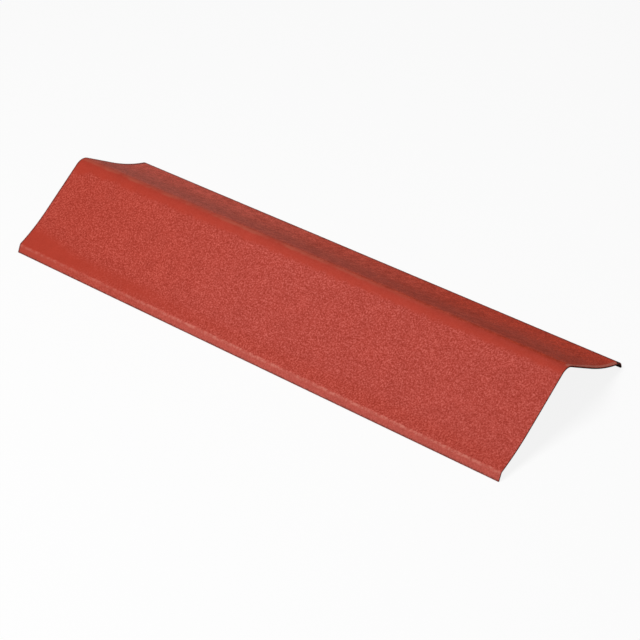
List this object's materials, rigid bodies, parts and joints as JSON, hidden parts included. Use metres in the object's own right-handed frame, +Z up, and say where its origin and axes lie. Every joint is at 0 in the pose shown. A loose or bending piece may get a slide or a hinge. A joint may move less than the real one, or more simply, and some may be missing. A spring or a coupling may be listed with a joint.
{
  "type": "verge trim",
  "caption": "Moulded bitumen-fibre verge strip with a folded ridge, two gently flared legs and turned-down drip lips, for the edge of a corrugated roof.",
  "frame": {"origin": "bottom centre of the strip's box, midway along its length, on the level floor that its two long edges stand on", "axes": "+X along the strip, +Z up through the ridge, and the barge leg hangs down towards -Y"},
  "size_m": [1, 0.316, 0.0958],
  "materials": {
    "painted_board": "matte red granular paint on black bitumen-saturated fibre board"
  },
  "bodies": {
    "root": {"verge_trim": "painted_board"}
  },
  "joints": []
}
